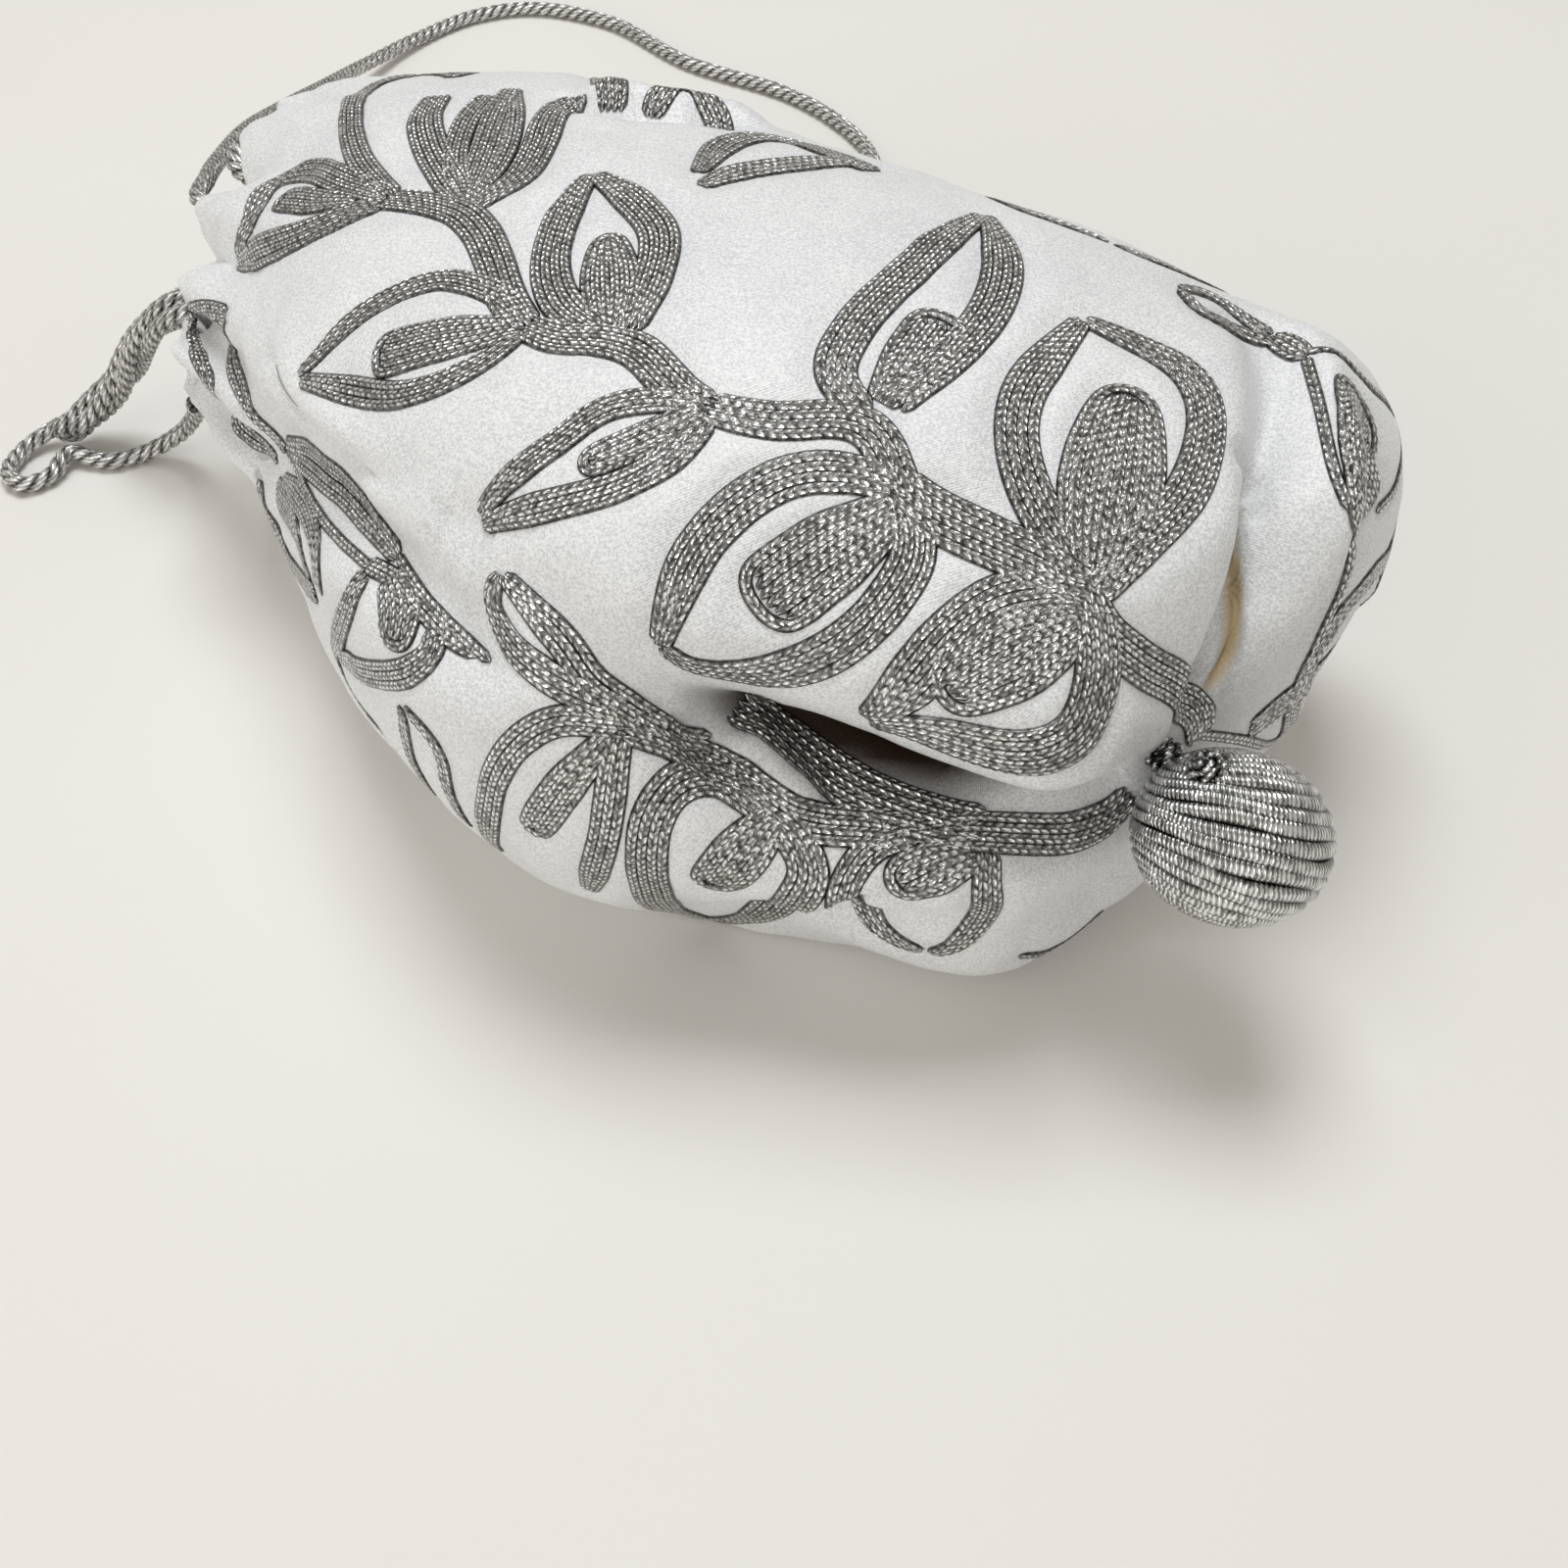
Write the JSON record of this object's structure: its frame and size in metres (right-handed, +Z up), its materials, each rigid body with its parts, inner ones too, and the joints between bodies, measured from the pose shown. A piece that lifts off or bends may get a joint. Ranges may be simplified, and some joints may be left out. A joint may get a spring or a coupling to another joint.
{
  "type": "drawstring purse",
  "caption": "Soft satin drawstring pouch lying on its side, with couched silver vine embroidery, a cord-wound ball at its closed tip and twisted drawstring cords.",
  "frame": {"origin": "a point on the flat patch that the pouch lies on, under the middle of the pouch", "axes": "+X from the mouth to the ball, +Y to the far side of the picture, +Z up from the table"},
  "size_m": [0.2843, 0.2056, 0.0794],
  "materials": {
    "satin": "white satin with a soft sheen",
    "silver_winding": "metallic silver twisted thread",
    "silver_cord": "metallic dark silver twisted thread"
  },
  "bodies": {
    "root": {"pouch": "satin", "ball_finial": "silver_winding", "handle_cord": "silver_cord", "tail_hank": "silver_cord", "tail_loop": "silver_cord", "tail_strand": "silver_cord"}
  },
  "joints": []
}
